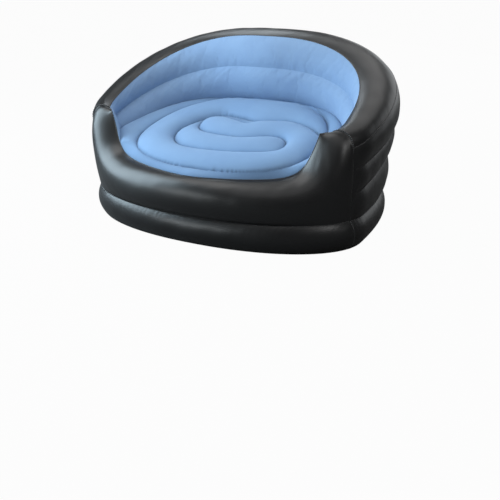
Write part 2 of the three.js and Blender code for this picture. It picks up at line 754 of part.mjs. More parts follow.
// The two valves, each in a group at its place on the skin
const valves = [
  { name: 'base', run: 'base', side: 1, height: base_valve_height },
  { name: 'body', run: 'wall', side: -1, height: body_valve_height }];
for (const valve of valves) {
  valve.spot = valve_frame(valve.side, valve.height, (turn) => section(turn)[valve.run]);
}
function with_hole(geometry, spot) {
  const hole = rod(neck_bore + neck_wall + fit_gap, -neck_depth, neck_depth).applyMatrix4(spot.frame);
  return geometry_from(solid(geometry).subtract(solid(hole)));
}

add('base_bottom_sheet', base_bottom(), black_vinyl);
add('base_band_front', loft(front_columns, 'base'), black_vinyl);
add('base_band_rear', with_hole(loft(rear_columns, 'base'), valves[0].spot), black_vinyl);
add('chamber_divider', chamber_divider(), grey_vinyl);
add('front_panel', loft(front_columns, 'front'), black_vinyl);
add('outer_wall', with_hole(loft(rear_columns, 'wall'), valves[1].spot), black_vinyl);
add('rim_panel', loft(rear_columns, 'rim'), black_vinyl);
add('back_lining', back_lining(), blue_flock);
add('seat_top', seat_top(), blue_flock);
add('lower_tie_band', tie_band(low_rows, 2 * lining_rows), grey_vinyl);
add('upper_tie_band', tie_band(low_rows + lobe_rows, lining_rows), grey_vinyl);
add('seat_coil_band', upright_band(spiral.slice(0, -3), false), grey_vinyl);
const ring_path = steps_between(0, 2 * Math.PI, 2 * front_steps).slice(0, -1)
  .map((turn) => [turn, loop(turn) - 2 * band_sheet])
  .map(([turn, radius]) => [radius * Math.sin(turn), -radius * Math.cos(turn)]);
add('seat_ring_band', upright_band(ring_path, true), grey_vinyl);
for (const { name, run, spot } of valves) {
  add(`${name}_valve_housing`, valve_housing(spot, run), valve_plastic);
  const group = new THREE.Group();
  spot.frame.decompose(group.position, group.quaternion, group.scale);
  add(`${name}_valve_insert`, valve_insert(), valve_plastic, group);
  add(`${name}_valve_cap`, valve_cap(), valve_plastic, group);
  add(`${name}_valve_flap`, valve_flap(), grey_vinyl, group);
  sofa.add(group);
}

export default sofa;
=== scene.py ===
# %% [markdown]
# # An inflatable sofa, sheet by sheet
# The real sofa is a skin of thin welded sheets held in shape by air. Its forms come from three things:
# the outline of each sheet, the bands inside that hold the creases, and the air that rounds what is left.
# This file works out each sheet as a numpy surface in metres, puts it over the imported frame, and then
# gives it the small puckers, welds and finishes that a photograph shows.

# %% Load the frame
import json
import math

import bmesh
import bpy
import numpy as np
from mathutils import Matrix, Vector


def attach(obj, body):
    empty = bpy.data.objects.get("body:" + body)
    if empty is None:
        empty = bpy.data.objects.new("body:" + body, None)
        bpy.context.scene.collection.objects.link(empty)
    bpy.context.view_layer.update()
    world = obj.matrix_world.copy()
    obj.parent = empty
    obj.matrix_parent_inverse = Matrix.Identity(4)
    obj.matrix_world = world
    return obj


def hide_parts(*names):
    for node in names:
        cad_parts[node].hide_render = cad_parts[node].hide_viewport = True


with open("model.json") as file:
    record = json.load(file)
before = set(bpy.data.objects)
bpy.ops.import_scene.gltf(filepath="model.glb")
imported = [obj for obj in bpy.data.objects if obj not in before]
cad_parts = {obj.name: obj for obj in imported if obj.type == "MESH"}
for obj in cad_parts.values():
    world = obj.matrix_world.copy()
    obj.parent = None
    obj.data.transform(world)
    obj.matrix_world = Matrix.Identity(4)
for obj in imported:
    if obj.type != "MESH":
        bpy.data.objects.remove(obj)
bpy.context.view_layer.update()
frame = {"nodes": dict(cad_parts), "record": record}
skin_body = "sofa_body"


def middle_of(node):
    """The middle of the box round a CAD node."""
    mesh = frame["nodes"][node].data
    points = np.empty(3 * len(mesh.vertices), np.float32)
    mesh.vertices.foreach_get("co", points)
    points = points.reshape(-1, 3)
    return (points.min(0) + points.max(0)) / 2


base_valve, body_valve = middle_of("base_valve_housing"), middle_of("body_valve_housing")
print("valves at", base_valve.round(3), body_valve.round(3))

# %% [markdown]
# ## The camera
# It stands in front and to the right of the sofa and looks a little down, as the photograph does.
# It is made first, because every later choice is judged through it.

# %% Set the camera
view_turn = math.radians(31.37)      # round the sofa, towards its right arm
view_drop = math.radians(17.21)      # down from level
view_roll = math.radians(-2.175)
view_distance = 3.9286
lens_length = 57.615                 # for a 36 mm sensor
look_height = 0.320
aim_right, aim_up = 0.10488, -0.45664    # where the middle of the picture lies beside that point

back = Vector((math.sin(view_turn) * math.cos(view_drop), -math.cos(view_turn) * math.cos(view_drop),
               math.sin(view_drop)))
right = Vector((math.cos(view_turn), math.sin(view_turn), 0))
up = back.cross(right)
centre = Vector((0, 0, look_height))
camera_place = centre + back * view_distance
toward = (camera_place - (centre + right * aim_right + up * aim_up)).normalized()
camera_x = Vector((0, 0, 1)).cross(toward).normalized()
camera_y = toward.cross(camera_x)
turned_x = camera_x * math.cos(view_roll) + camera_y * math.sin(view_roll)
turned_y = camera_y * math.cos(view_roll) - camera_x * math.sin(view_roll)
axes = Matrix((turned_x, turned_y, toward)).transposed()
camera = bpy.data.objects.new("camera", bpy.data.cameras.new("camera"))
camera.data.lens = lens_length
camera.data.sensor_width = 36
camera.matrix_world = Matrix.Translation(camera_place) @ axes.to_4x4()
bpy.context.scene.collection.objects.link(camera)
bpy.context.scene.camera = camera
print("camera at", [round(v, 3) for v in camera_place])

# %% [markdown]
# ## The plan and the sections
# A point of the skin is given by its turn round the sofa (0 straight ahead, growing towards the right
# arm), and by its place in the section there: how far it lies outside the base outline, and how high.
# Every sheet is then a run of such places, and the whole skin is a few short formulas.

# %% Driving sizes
half_width = 0.724
front_reach, back_reach = 0.340, 0.704
front_power, back_power = 2.12, 2.66
arm_turn = math.radians(82.3)
meet_turn = 0.88 * arm_turn          # where seat and back lining meet the front panel
base_height, base_bulge, foot_inset = 0.137, 0.026, 0.006
front_edge_inset, front_edge_height = 0.010, 0.328
front_bulge, front_roll_top = 0.065, 0.322
edge_power = 1.46                    # roundness of the front panel's inner edge in plan
horn_share, horn_power = 0.089, 3.54     # where and how steeply the panel climbs to the arms
horn_inset_power, horn_face_power = 1.8, 5.1
foot_climb_power = 6                 # how late the panel climbs along its foot
horn_flat_share = 0.25
# Places in the section, [beside the outline, height]: at the arm seam and in the middle of the back
arm_flare = 0.008 / (0.475 - base_height)
arm_places = {
    "low": [arm_flare * (0.258 - base_height), 0.258], "high": [arm_flare * (0.371 - base_height), 0.371],
    "outer": [0.008, 0.475], "rim": [-0.095, 0.531], "crease": [-0.086, 0.459], "seat": [-0.115, 0.400]}
back_places = {
    "low": [0.035, 0.349], "high": [0.090, 0.503], "outer": [0.004, 0.787], "rim": [-0.230, 0.831],
    "crease": [-0.284, 0.681], "seat": [-0.255, 0.505]}
side_flare = 0.053
climb_power, low_crease_power, high_crease_power = 1.07, 1.58, 1.12
rim_rise, arm_lining_rise = 0.041, 0.034
wall_rise_share, lining_rise_share, rib_fade_share = 0.124, 0.145, 0.12


def mix(a, b, t):
    """A straight blend from a to b by t."""
    return a + (b - a) * t


# %% The plan outline
def rounded(turn, across, ahead, behind, power_ahead, power_behind):
    """Radius of a superellipse, from the sum of the powers of sine and cosine over its half axes."""
    fore = np.cos(turn) > 0
    deep = np.where(fore, ahead, behind)
    power = np.where(fore, power_ahead, power_behind)
    total = (np.abs(np.sin(turn)) / across) ** power + (np.abs(np.cos(turn)) / deep) ** power
    return total ** (-1 / power)


def outline(turn):
    """The plan radius of the base seam."""
    return rounded(turn, half_width, front_reach, back_reach, front_power, back_power)


def back_share(turn):
    """How far back a turn lies, 0 at the arm seams and 1 in the middle of the back."""
    start = -outline(arm_turn) * math.cos(arm_turn)
    return np.clip((-outline(turn) * np.cos(turn) - start) / (back_reach - start), 0, 1)


def place(turn, run):
    """Section places (columns, rows, 2) at their turns become points (rows, columns, 3)."""
    radius = outline(turn)[:, None] + run[..., 0]
    points = np.stack([radius * np.sin(turn)[:, None], -radius * np.cos(turn)[:, None], run[..., 1]], -1)
    return points.transpose(1, 0, 2)


# %% Arcs and section places
def arc(p, q, rise, t):
    """The circular arc from p to q that rises to the right of the way, at the shares t of its angle."""
    p, q = np.asarray(p, float), np.asarray(q, float)
    way = q - p
    chord = np.hypot(way[..., 0], way[..., 1])[..., None]
    along = way / chord
    out = np.stack([along[..., 1], -along[..., 0]], -1)
    rise = np.maximum(np.broadcast_to(rise, chord[..., 0].shape)[..., None], 1e-4 * chord)
    radius = (chord ** 2 / 4 + rise ** 2) / (2 * rise)
    half = 2 * np.arctan2(2 * rise, chord)
    angle = mix(-half, half, t)
    forward = chord / 2 + radius * np.sin(angle)
    height = rise - radius * (1 - np.cos(angle))
    start, along, out = p[..., None, :], along[..., None, :], out[..., None, :]
    return start + along * forward[..., None] + out * height[..., None]


def chord(p, q):
    """Distance between section places."""
    return np.hypot(q[..., 0] - p[..., 0], q[..., 1] - p[..., 1])


def section_places(turn):
    """The named places of the rear section at each turn, blended from arm to back.

    The first value is how far the creases have formed: 0 at the arm seam, where the lining is one lobe
    and the wall is flat, and 1 a little behind it.
    """
    w = back_share(turn)
    faded = np.minimum(w / rib_fade_share, 1)
    ribbed = np.sqrt(faded * (2 - faded))
    climb = w ** climb_power
    lean = side_flare * 4 * w * (1 - w)
    low_climb = 1 - (1 - w) ** low_crease_power
    high_climb = 1 - (1 - w) ** high_crease_power
    rules = {"low": (low_climb, 0), "high": (high_climb, 0), "outer": (climb, lean),
             "rim": (climb, lean), "crease": (climb, lean), "seat": (w, 0)}
    places = {}
    for name, (lift, add) in rules.items():
        a, b = arm_places[name], back_places[name]
        places[name] = np.stack([mix(a[0], b[0], w) + add, mix(a[1], b[1], lift)], -1)
    top = arc(places["rim"], places["seat"], arm_lining_rise, np.array([0.5]))[:, 0]
    places["crease"] = mix(top, places["crease"], ribbed[:, None])
    return ribbed, places


def crowded(count, ends=0.75):
    """Shares from 0 to 1 that lie closer together near both ends, where the welds are."""
    u = np.linspace(0, 1, count)
    return u - ends * np.sin(2 * math.pi * u) / (2 * math.pi)


def strung(*runs):
    """Joins runs that share their end places."""
    return np.concatenate([runs[0], *[run[..., 1:, :] for run in runs[1:]]], -2)


# %% [markdown]
# ## From a grid to a sheet
# A welded sheet is thin but not without thickness, so each grid of points gets a second layer a film's
# thickness towards the air, and a closed edge. Building that by index arrays keeps it exact and fast.

# %% Mesh helpers
film = 0.0006                            # a sheet's thickness here
sharp_angle = math.radians(55)           # edges that turn more than this are shaded sharp
valve_hole = 0.022                       # radius left out of a sheet under a valve's flange
flange_clear, flange_fade = 0.036, 0.05  # no relief within the first, full relief beyond both


def unit(v):
    """Vectors of length one."""
    return v / np.maximum(np.linalg.norm(v, axis=-1, keepdims=True), 1e-12)


def normals_of(points):
    """Unit normals of a grid: the cross product of its two differences, column way first."""
    return unit(np.cross(np.gradient(points, axis=1), np.gradient(points, axis=0)))


def grid_faces(rows, columns, wrap=False):
    """Corner indices of the cells of a grid, so that a face looks along column way cross row way."""
    r = np.arange(rows - 1)[:, None]
    c = np.arange(columns if wrap else columns - 1)[None, :]
    d = (c + 1) % columns
    corners = [r * columns + c, r * columns + d, (r + 1) * columns + d, (r + 1) * columns + c]
    return np.stack(np.broadcast_arrays(*corners), -1).reshape(-1, 4)


def new_piece(name, points, faces):
    """A smooth-shaded mesh object from corner points and faces of four corners."""
    mesh = bpy.data.meshes.new(name)
    mesh.vertices.add(len(points))
    mesh.vertices.foreach_set("co", np.asarray(points, np.float32).ravel())
    mesh.loops.add(faces.size)
    mesh.loops.foreach_set("vertex_index", faces.astype(np.int32).ravel())
    mesh.polygons.add(len(faces))
    mesh.polygons.foreach_set("loop_start", np.arange(0, faces.size, faces.shape[1], dtype=np.int32))
    mesh.update(calc_edges=True)
    mesh.shade_smooth()
    mesh.set_sharp_from_angle(angle=sharp_angle)
    piece = bpy.data.objects.new(name, mesh)
    bpy.context.scene.collection.objects.link(piece)
    print(f"{name}: {len(faces)} faces, size {np.ptp(points, axis=0).round(3)}")
    return piece


def sheet_from(grid, hole=None):
    """Points and faces of a closed sheet: a grid, its layer inside, and walls along every open edge.

    Cells whose corners all lie within a valve's hole round the centre given are left out.
    """
    rows, columns = grid.shape[:2]
    count = rows * columns
    outside = grid.reshape(-1, 3)
    cells = grid_faces(rows, columns)
    if hole is not None:
        near = np.linalg.norm(outside - hole, axis=1) < valve_hole
        cells = cells[~near[cells].all(1)]
    ways = np.concatenate([cells[:, [k, (k + 1) % 4]] for k in range(4)])
    first, second = ways[~np.isin(ways @ [count, 1], ways @ [1, count])].T
    walls = np.stack([second, first, first + count, second + count], -1)
    inside = (grid - film * normals_of(grid)).reshape(-1, 3)
    return (np.concatenate([outside, inside]),
            np.concatenate([cells, cells[:, ::-1] + count, walls]))


def finish_sheet(name, grid, nodes, hole=None):
    piece = new_piece(name, *sheet_from(grid, hole))
    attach(piece, skin_body)
    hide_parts(*nodes)
    return piece


# %% [markdown]
# ## Puckers
# Where a flat-cut sheet is welded round a curve and then blown up, its edge is too long for the line it
# is held to, and it gathers into short rounded puckers with sharp valleys between them. They are tallest
# a little off the weld and die away within a hand's width. They are made as real relief, not as bump.

# %% The pucker formula
swell_hold = 0.02    # the slow swell is held down within this length of an edge


def wander(s, wavelength, seed):
    """A smooth random wave along s: four cosines of random length and phase, about -1 to 1."""
    dice = np.random.default_rng(seed)
    total = np.zeros_like(s)
    for stretch in (0.7, 1.0, 1.6, 2.7):
        length = wavelength * stretch * dice.uniform(0.9, 1.1)
        total += np.cos(2 * math.pi * s / length + dice.uniform(0, 7))
    return total / 2.6


def puckers(s, d, width, height, reach, seed):
    """Relief at s along a weld and d away from it.

    Rounded bulges, one for each width, are the size of a sine whose phase wanders; their height wanders
    too, rises from the weld over a fifth of the reach and then dies away exponentially over the reach.
    """
    phase = math.pi * s / width + 1.3 * wander(s, 4 * width, seed)
    bulge = np.abs(np.sin(phase)) - 0.64
    tall = 0.55 + 0.45 * wander(s, 9 * width, seed + 1)
    fade = (1 - np.exp(-d / (0.2 * reach))) * np.exp(-d / reach)
    return height * bulge * np.clip(tall, 0.05, 1.5) * fade


def lengths_of(points):
    """Lengths over a grid: along each row, down each column, and to the nearer end of each row."""
    steps = np.linalg.norm(np.diff(points, axis=1), axis=-1)
    along = np.concatenate([np.zeros((len(points), 1)), np.cumsum(steps, 1)], 1)
    steps = np.linalg.norm(np.diff(points, axis=0), axis=-1)
    down = np.concatenate([np.zeros((1, points.shape[1])), np.cumsum(steps, 0)], 0)
    return along, down, np.minimum(along, along[:, -1:] - along)


def swell(s, d, seed):
    """A slow unevenness of a blown-up sheet, about -1 to 1: seven plane waves of 7 to 20 cm, all ways."""
    dice = np.random.default_rng(seed)
    total = np.zeros_like(d + s)
    for _ in range(7):
        turn, wave = dice.uniform(0, math.pi), dice.uniform(0.07, 0.20)
        total += np.cos(2 * math.pi * (s * math.cos(turn) + d * math.sin(turn)) / wave + dice.uniform(0, 7))
    return total / 3.5


def relieved(points, relief, tall, seed, valve=None):
    """Moves a grid along its normals by a relief and a slow swell, both faded out at a valve's flange.

    The swell also dies out at the four edges, where the next sheet begins.
    """
    s, d, edge = lengths_of(points)
    edge = np.minimum(np.minimum(d, d[-1:] - d), edge)
    relief = relief + tall * swell(s, d, seed) * (1 - np.exp(-edge / swell_hold))
    if valve is not None:
        off = np.linalg.norm(points - valve, axis=-1)
        relief = relief * np.clip((off - flange_clear) / flange_fade, 0, 1) ** 2
    return pinched(points + normals_of(points) * relief[..., None])


def blown(points, radius, passes):
    """Lets a sheet settle under air: inner points move to the mean of their neighbours and outwards.

    The push is a quarter of the squared row spacing over the radius, so an arc of that radius stays as it
    is, while folds that no band holds are rounded off. The four edges stay where they are welded.
    """
    for _ in range(passes):
        mean = (points[:-2, 1:-1] + points[2:, 1:-1] + points[1:-1, :-2] + points[1:-1, 2:]) / 4
        gap = ((points[2:, 1:-1] - points[:-2, 1:-1]) ** 2).sum(-1, keepdims=True) / 4
        push = normals_of(points)[1:-1, 1:-1] * gap / (4 * radius)
        points[1:-1, 1:-1] = (points[1:-1, 1:-1] + mean + push) / 2
    return points


def inflated(points, held, pressure=5.0, spare=0.0025, cap=0.014, frames=20):
    """Blows a sheet up as cloth, held where it is welded, and returns where its points settle.

    The cloth is cut a little larger than its place by the spare share, so it puckers beside its welds as
    real sheet does. No point moves further than the cap. Every other row and column is simulated.
    """
    start = points[::2, ::2]
    rows, columns = start.shape[:2]
    sheet = new_piece("sheet", start.reshape(-1, 3), grid_faces(rows, columns))
    group = sheet.vertex_groups.new(name="held")
    weights = np.round(held[::2, ::2].ravel(), 1)
    for weight in np.unique(weights[weights > 0]):
        group.add(np.flatnonzero(weights == weight).tolist(), float(weight), "REPLACE")
    air = sheet.modifiers.new("air", "CLOTH")
    values = dict(quality=6, mass=0.3, tension_stiffness=40, compression_stiffness=40, shear_stiffness=10,
                  bending_stiffness=0.2, air_damping=3, use_pressure=True, uniform_pressure_force=pressure,
                  vertex_group_mass="held", pin_stiffness=1, shrink_min=-spare)
    for key, value in values.items():
        setattr(air.settings, key, value)
    air.settings.effector_weights.gravity = 0
    air.collision_settings.use_collision = False
    scene = bpy.context.scene
    for step in range(1, frames + 1):
        scene.frame_set(step)
    blown_up = sheet.evaluated_get(bpy.context.evaluated_depsgraph_get()).data
    settled = np.empty(rows * columns * 3)
    blown_up.vertices.foreach_get("co", settled)
    bpy.data.objects.remove(sheet)
    scene.frame_set(1)
    move = np.empty(points.shape)
    move[::2, ::2] = settled.reshape(start.shape) - start
    move[1::2, ::2] = (move[:-2:2, ::2] + move[2::2, ::2]) / 2
    move[:, 1::2] = (move[:, :-2:2] + move[:, 2::2]) / 2
    size = np.linalg.norm(move, axis=-1, keepdims=True)
    print("cloth moved", round(float(size.mean()), 4), "to", round(float(size.max()), 4))
    return points + move * np.minimum(1, cap / np.maximum(size, 1e-9))


def softened(points, times):
    """Rounds the creases of a grid: each row moves halfway to the mean of its neighbours, some times."""
    for _ in range(times):
        points[1:-1] = points[1:-1] / 2 + (points[:-2] + points[2:]) / 4
    return points


# %% [markdown]
# ## The arm fronts
# The front panel stays low across the middle and climbs late and steeply into the two arm fronts. Its
# inner edge ends in a small pinched corner before each arm seam.

# %% Inner edge of the front panel
arm_column = np.array([arm_turn])
arm_section = {name: p[0] for name, p in section_places(arm_column)[1].items()}


def horn_climb(u):
    """How far the panel has climbed, 0 in the middle of the front to 1 at an arm seam: late and steep."""
    risen = lambda left: 1 / (1 + (left / horn_share) ** horn_power)
    return (risen(1 - u) - risen(1)) / (1 - risen(1))


tip_radius = float(outline(arm_turn)) + arm_section["rim"][0]
edge_reach = front_reach - front_edge_inset
edge_width = tip_radius * math.sin(arm_turn) / (
    1 - (tip_radius * math.cos(arm_turn) / edge_reach) ** edge_power) ** (1 / edge_power)


def front_edge(turn):
    """The panel's inner edge: a rounded plan outline through the front's middle and both arm tips."""
    u = np.minimum(np.abs(turn) / arm_turn, 1)
    offset = rounded(turn, edge_width, edge_reach, edge_reach, edge_power, edge_power) - outline(turn)
    return np.stack([offset, mix(front_edge_height, arm_section["rim"][1], horn_climb(u))], -1)


corner_turn = np.array([0.952 * arm_turn])
front_corner = place(corner_turn, front_edge(corner_turn)[:, None])[0, 0]
corner_pull, corner_reach = np.array([0.001, -0.005, 0.024]), 0.022


def pinched(points):
    """Draws sheets and welds to each arm's front corner, by exp(-distance / corner_reach) of the pull."""
    for side in (-1, 1):
        off = np.linalg.norm(points - front_corner * [side, 1, 1], axis=-1, keepdims=True)
        points = points + np.exp(-off / corner_reach) * corner_pull * [side, 1, 1]
    return points


# %% [markdown]
# ## The base chamber
# The sofa stands on a ring of its own, a separate air chamber, so that the seat keeps its height when
# someone sits down. Its band is cut in two, with an upright weld below each arm front.

# %% Base bands
front_share = np.linspace(-1, 1, 560)
front_turns = arm_turn * np.sign(front_share) * (1 - (1 - np.abs(front_share)) ** 1.4)
rear_turns = np.linspace(arm_turn, 2 * math.pi - arm_turn, 620)


def base_run(turn):
    """An arc from the foot to the base seam."""
    foot = np.broadcast_to([-foot_inset, 0.0], (len(turn), 2))
    seam = np.broadcast_to([0.0, base_height], (len(turn), 2))
    return arc(foot, seam, base_bulge, crowded(36, 0.6))


def base_grid(turn, seed, valve=None):
    """The band with puckers under the base seam and small ones over the foot."""
    points = place(turn, base_run(turn))
    s, d, edge = lengths_of(points)
    seam = d[-1:]
    relief = puckers(s, seam - d, 0.009, 0.0013, 0.014, seed)
    relief += puckers(s, seam - d, 0.034, 0.0010, 0.035, seed + 5)
    relief += puckers(s, d, 0.012, 0.0008, 0.012, seed + 9)
    relief += puckers(d, edge, 0.012, 0.0010, 0.012, seed + 3)
    return relieved(points, relief, 0.0004, seed, valve)


base_front = finish_sheet("base_front", base_grid(front_turns, 21), ["base_band_front"])
base_rear = finish_sheet("base_rear", base_grid(rear_turns, 31, base_valve), ["base_band_rear"],
                         hole=base_valve)

# %% [markdown]
# ## Outer wall and rim
# Bands inside pull the wall in along two creases, so the air makes three long lobes. They fade out at
# the arm seam, where no band holds them. The rim panel closes the top with one broad roll.

# %% Outer wall
wall_counts = (28, 24, 28)    # rows of the three lobes


def wall_run(turn):
    """Three arcs from the base seam over the two creases to the rim seam."""
    ribbed, p = section_places(turn)
    start = np.broadcast_to([0.0, base_height], p["low"].shape)
    bulge = wall_rise_share * ribbed
    stops = [start, p["low"], p["high"], p["outer"]]
    legs = zip(stops, stops[1:], wall_counts)
    return strung(*[arc(a, b, bulge * chord(a, b), crowded(n)) for a, b, n in legs])


def wall_grid(turn):
    """The wall, its creases softened, with puckers along both creases, both seams and the arm seams."""
    points = softened(place(turn, wall_run(turn)), 1)
    s, d, edge = lengths_of(points)
    relief = puckers(s, d, 0.010, 0.0014, 0.016, 41) + puckers(s, d[-1:] - d, 0.011, 0.0014, 0.016, 42)
    ribbed = section_places(turn)[0][None]
    for k, row in enumerate((wall_counts[0] - 1, sum(wall_counts[:2]) - 2)):
        off = np.abs(d - d[row:row + 1])
        relief += ribbed * puckers(s, off, 0.018, 0.0006, 0.020, 45 + k)
        relief += ribbed * puckers(s, off, 0.06, 0.0012, 0.05, 48 + k)
    relief += puckers(d, edge, 0.014, 0.0016, 0.014, 43)
    return relieved(points, relief, 0.0007, 44, body_valve)


outer_wall = finish_sheet("wall", wall_grid(rear_turns), ["outer_wall"], hole=body_valve)


# %% Rim panel
def rim_run(turn):
    """One arc from the rim seam over the top to the edge of the lining."""
    _, p = section_places(turn)
    return arc(p["outer"], p["rim"], rim_rise, crowded(50))


def rim_grid(turn):
    """The rim with puckers along its two long seams and at the arm seams."""
    points = place(turn, rim_run(turn))
    s, d, edge = lengths_of(points)
    relief = puckers(s, d, 0.011, 0.0014, 0.016, 61) + puckers(s, d[-1:] - d, 0.010, 0.0010, 0.012, 62)
    relief += puckers(s, d, 0.05, 0.0007, 0.045, 64)
    relief += puckers(d, edge, 0.012, 0.0018, 0.014, 63)
    return relieved(points, relief, 0.0005, 65)


rim = finish_sheet("rim", rim_grid(rear_turns), ["rim_panel"])


# %% [markdown]
# ## Front panel
# A thick roll closes the middle of the front. Towards each arm it turns into the arm's own outline, so one
# sheet covers the front and both arm ends.

# %% The panel's runs
def arm_profile(v):
    """Outline of the arm's end at shares v: up the outer face for one half, over the rim for the other."""
    face = arc([0.0, base_height], arm_section["outer"], 0.0, np.clip(2 * v, 0, 1))
    over = arc(arm_section["outer"], arm_section["rim"], rim_rise, np.clip(2 * v - 1, 0, 1))
    return np.where((v < 0.5)[:, None], face, over)


def front_run(turn, v):
    """The middle's roll, a cubic curve, blended into the arm's outline and drawn to the inner edge.

    The blend grows late with the turn, so the panel stays low across the front and climbs steeply into
    the two arm fronts. What it misses the inner edge by is added with the square of v.
    """
    corners = np.array([[0.0, base_height], [front_bulge, base_height + base_bulge / 2],
                        [front_bulge, front_roll_top], [-front_edge_inset, front_edge_height]])
    t = v[:, None]
    roll = ((1 - t) ** 3 * corners[0] + 3 * t * (1 - t) ** 2 * corners[1]
            + 3 * t ** 2 * (1 - t) * corners[2] + t ** 3 * corners[3])
    arm = arm_profile(v)
    u = np.minimum(np.abs(turn) / arm_turn, 1)[:, None]
    inset = u ** mix(horn_face_power, horn_inset_power, v)[None]
    climb = mix(u ** foot_climb_power, horn_climb(u), v)
    run = mix(roll, arm, np.stack([inset, climb], -1))
    return run + (v ** 2)[None, :, None] * (front_edge(turn) - run[:, -1])[:, None]


# %% Front panel
settle_radius, settle_passes = 0.16, 120


def front_grid(turn, v):
    """The front panel with puckers along the base seam, its inner edge and the arm seams."""
    points = blown(place(turn, front_run(turn, v)), settle_radius, settle_passes)
    s, d, edge = lengths_of(points)
    relief = puckers(s, d, 0.010, 0.0013, 0.015, 71) + puckers(s, d, 0.036, 0.0008, 0.035, 75)
    relief += puckers(s, d[-1:] - d, 0.011, 0.0010, 0.010, 72)
    relief += puckers(d, edge, 0.012, 0.0018, 0.014, 73)
    return relieved(points, relief, 0.0004, 74)


front_v = crowded(73, 0.5)
front = finish_sheet("front", front_grid(front_turns, front_v), ["front_panel"])


# %% [markdown]
# ## Lining
# The inner face of the back is the same kind of sheet with a short soft flock on it. One band holds
# a crease half way up, which gives two lobes. Beside each arm front it narrows to the point where it
# meets the seat. The part behind the arm fronts is then blown up a little as cloth.

# %% The seat's crease
def seat_edge(turn):
    """Where the seat ends: at the front panel, then at the lining, with a straight step between them."""
    side = np.abs((turn + math.pi) % (2 * math.pi) - math.pi)
    _, p = section_places(np.maximum(side, arm_turn))
    meet = front_edge(np.array([meet_turn]))[0]
    step = np.clip((side - meet_turn) / (arm_turn - meet_turn), 0, 1)[:, None]
    edge = np.where((side <= meet_turn)[:, None], front_edge(side), mix(meet, arm_section["seat"], step))
    return np.where((side < arm_turn)[:, None], edge, p["seat"])


# %% Lining runs
def lining_run(turn, t_top, t_low):
    """An arc from the rim edge to the inner crease, and one from there down to the seat."""
    ribbed, p = section_places(turn)
    rises = [mix(arm_lining_rise / 4, lining_rise_share * chord(p[a], p[b]), ribbed)
             for a, b in (("rim", "crease"), ("crease", "seat"))]
    return strung(arc(p["rim"], p["crease"], rises[0], t_top), arc(p["crease"], p["seat"], rises[1], t_low))


def horn_lining(turn, t_top, t_low):
    """The arm's lining shrunk to fit between the front panel's edge and the seat, flatter where low."""
    model = lining_run(arm_column, t_top, t_low)[0]
    first, last = model[0], model[-1]
    top, low = front_edge(turn), seat_edge(turn)
    size = np.maximum((top[:, 1] - low[:, 1]) / (first[1] - last[1]), 0)[:, None]
    t = ((model[:, 1] - last[1]) / (first[1] - last[1]))[None]
    straight = mix(low[:, None], top[:, None], t[..., None])
    beside = (model[None, :, 0] - mix(last[0], first[0], t)) * size * np.minimum(size / horn_flat_share, 1)
    return np.stack([straight[..., 0] + beside, straight[..., 1]], -1)


# %% Back lining
lining_top, lining_low = crowded(41), crowded(41)
horn_turns = np.linspace(meet_turn, arm_turn, 40)
even_passes, even_share = 160, 0.8   # how often and how far columns move to the mean of their neighbours
still_columns = 28                   # at each end, where the cells are too narrow for cloth
end_fade = 0.03                      # puckers die out within this length of both ends
lining_turns = np.linspace(arm_turn, 2 * math.pi - arm_turn, 500)


def lining_grid():
    """The whole lining, its crease softened, with puckers at the crease, the rim edge and the seat."""
    rear = place(lining_turns, lining_run(lining_turns, lining_top, lining_low))
    small = place(horn_turns, horn_lining(horn_turns, lining_top, lining_low))
    points = np.concatenate([small[:, :-1], rear, (small * [-1, 1, 1])[:, -2::-1]], 1)
    points = softened(points, 3)
    flat = np.zeros(len(horn_turns) - 1)
    ribbed = np.concatenate([flat, section_places(lining_turns)[0], flat])[None]
    for _ in range(even_passes):
        step = (points[:, :-2] + points[:, 2:]) / 2 - points[:, 1:-1]
        points[1:-1, 1:-1] += ((1 - ribbed[:, 1:-1]) ** 2)[..., None] * step[1:-1] * even_share
    back = slice(still_columns, 1 - still_columns)
    held = np.zeros(points.shape[:2])
    held[len(lining_top) - 1] = ribbed[0]
    held = held[:, back]
    assert held.shape[0] % 2 and held.shape[1] % 2, held.shape
    held[[0, -1]] = held[:, 0] = held[:, -1] = 1
    points[:, back] = inflated(points[:, back], held)
    s, d, edge = lengths_of(points)
    crease = np.abs(d - d[len(lining_top) - 1:len(lining_top)])
    relief = puckers(s, d, 0.012, 0.0014, 0.012, 81) + puckers(s, d[-1:] - d, 0.016, 0.0014, 0.02, 82)
    relief += ribbed * (puckers(s, crease, 0.022, 0.0016, 0.02, 83)
                        + puckers(s, crease, 0.07, 0.0030, 0.05, 84))
    relief *= 1 - np.exp(-(edge / end_fade) ** 2)
    return relieved(points, relief, 0.0009, 85)


lining = finish_sheet("lining", lining_grid(), ["back_lining"])

# %% [markdown]
# ## Seat
# The seat is one flocked sheet. A long spiral weld and a loop round it tie the sheet to bands below,
# and the air lifts what lies between. A soap film does the same: held down along a line and pushed from
# below, it settles where its curvature is even. So the lobes are found by relaxing a film on a grid.

# %% The two welds
seat_weld_height, seat_slope, seat_lobe_rise = 0.402, 0.18, 0.032
loop_half_width, loop_front, loop_back, loop_power, loop_left_inset = 0.490, 0.283, 0.478, 2.3, 0.030
spiral_places = loop_half_width * np.array([
    [0.106, 0.355], [-0.122, 0.437], [-0.306, 0.482], [-0.439, 0.418], [-0.418, 0.224], [-0.286, 0.11],
    [-0.02, 0.069], [0.204, 0.082], [0.445, 0.171], [0.571, 0.163], [0.657, 0.061], [0.649, -0.102],
    [0.473, -0.178], [0.204, -0.233], [-0.151, -0.251], [-0.357, -0.22], [-0.51, -0.106],
    [-0.576, 0.061], [-0.547, 0.224], [-0.473, 0.398], [-0.306, 0.535], [-0.061, 0.506],
    [0.143, 0.461], [0.327, 0.492], [0.51, 0.512], [0.673, 0.461], [0.816, 0.378], [0.945, 0.255]])


